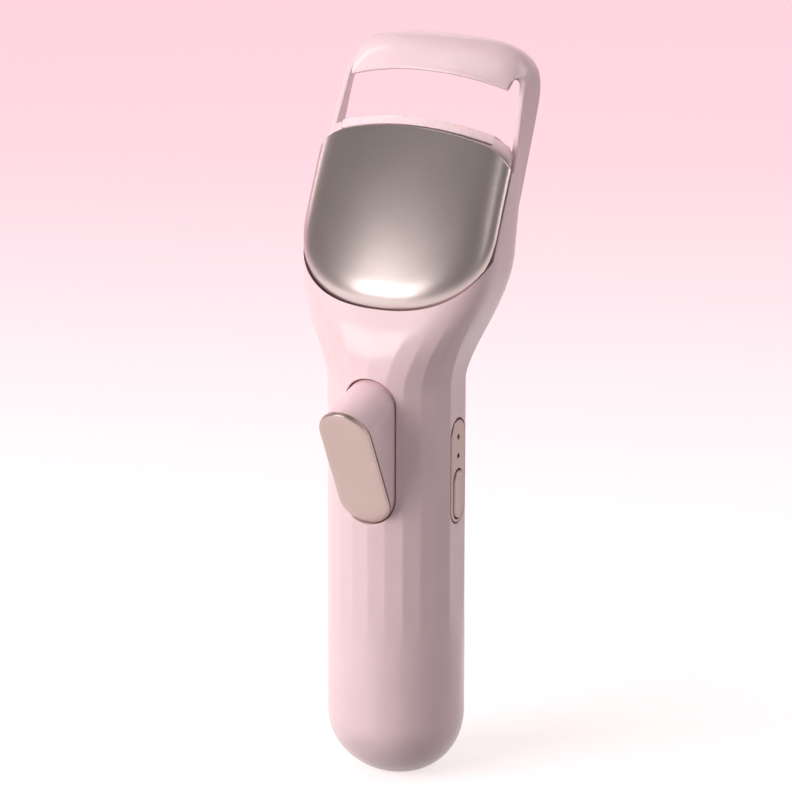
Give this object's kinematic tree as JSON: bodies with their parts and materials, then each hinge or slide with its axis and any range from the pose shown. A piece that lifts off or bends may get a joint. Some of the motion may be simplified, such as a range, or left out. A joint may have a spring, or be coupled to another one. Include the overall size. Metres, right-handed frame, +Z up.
{
  "type": "heated eyelash curler",
  "caption": "Handheld heated eyelash curler: a trigger on the handle lifts a curved lower jaw against the crossbar of a hoop on a leaning head.",
  "frame": {"origin": "centre of the flat base of the handle", "axes": "+Z up along the handle, -Y out of the trigger side, +X out of the control panel side"},
  "size_m": [0.036, 0.048, 0.1282],
  "materials": {
    "pink_shell": "satin pale pink",
    "champagne_metal": "satin pearl champagne",
    "steel": "bright turned steel",
    "silicone": "soft matte silicone",
    "nylon": "natural nylon",
    "circuit_board": "solder mask",
    "black_plastic": "matte",
    "clear_plastic": "clear",
    "indicator_light": "moulded lens",
    "cell_wrap": "shrink film",
    "foam": "closed foam",
    "red_lead": "lead insulation",
    "white_lead": "lead insulation"
  },
  "bodies": {
    "casing": {"front_housing": "pink_shell", "rear_cover": "pink_shell", "face_shield": "champagne_metal", "head_chassis": "nylon", "crank_pin": "steel", "trigger_pin": "steel", "spring_seat": "nylon", "return_spring": "steel", "control_panel": "champagne_metal", "main_board": "circuit_board", "tact_switch": "black_plastic", "light_guide": "clear_plastic", "lower_indicator_light": "indicator_light", "upper_indicator_light": "indicator_light", "lower_board_screw": "steel", "upper_board_screw": "steel", "left_chassis_screw": "steel", "right_chassis_screw": "steel", "battery_cell": "cell_wrap", "battery_cushion": "foam", "usb_socket": "steel", "charging_board": "circuit_board", "battery_lead_red": "red_lead", "battery_lead_black": "black_plastic", "charging_lead": "white_lead", "heater_lead": "white_lead"},
    "jaw": {"jaw_carriage": "pink_shell", "heating_plate": "steel", "jaw_pad": "silicone"},
    "crank": {"bell_crank": "nylon", "yoke_pin": "steel", "upper_rod_pin": "steel"},
    "trigger": {"trigger_lever": "pink_shell", "trigger_cap": "champagne_metal", "lower_rod_pin": "steel"},
    "rod": {"pull_rod": "steel"},
    "button": {"power_button": "champagne_metal"}
  },
  "joints": [
    {"name": "trigger_pivot", "type": "hinge", "parent": "casing", "child": "trigger", "pos_m": [0, -0.0079, 0.0455], "axis": [-1, 0, 0], "range_deg": [0, 16], "stiffness_Nm_per_rad": 0.12, "springref_deg": -20.05, "deforming": ["return_spring"]},
    {"name": "rod_pivot", "type": "hinge", "parent": "trigger", "child": "rod", "pos_m": [0, 0.00526, 0.04735], "axis": [-1, 0, 0], "range_deg": [-16.01, 0]},
    {"name": "crank_pivot", "type": "hinge", "parent": "casing", "child": "crank", "pos_m": [0, 0.00704, 0.09308], "axis": [-1, 0, 0], "range_deg": [0, 60.01]},
    {"name": "jaw_slide", "type": "slide", "parent": "casing", "child": "jaw", "axis": [0, 0.454, 0.891], "range_m": [0, 0.00801]},
    {"name": "button_slide", "type": "slide", "parent": "casing", "child": "button", "axis": [-1, 0, 0], "range_m": [0, 0.0004], "stiffness_N_per_m": 400, "springref_m": -0.0004}
  ],
  "couplings": [
    {"joint": "rod_pivot", "follows": "trigger_pivot", "ratio": -1},
    {"joint": "crank_pivot", "follows": "trigger_pivot", "ratio": 3.75},
    {"joint": "jaw_slide", "follows": "trigger_pivot", "m_per_rad": 0.028648}
  ]
}
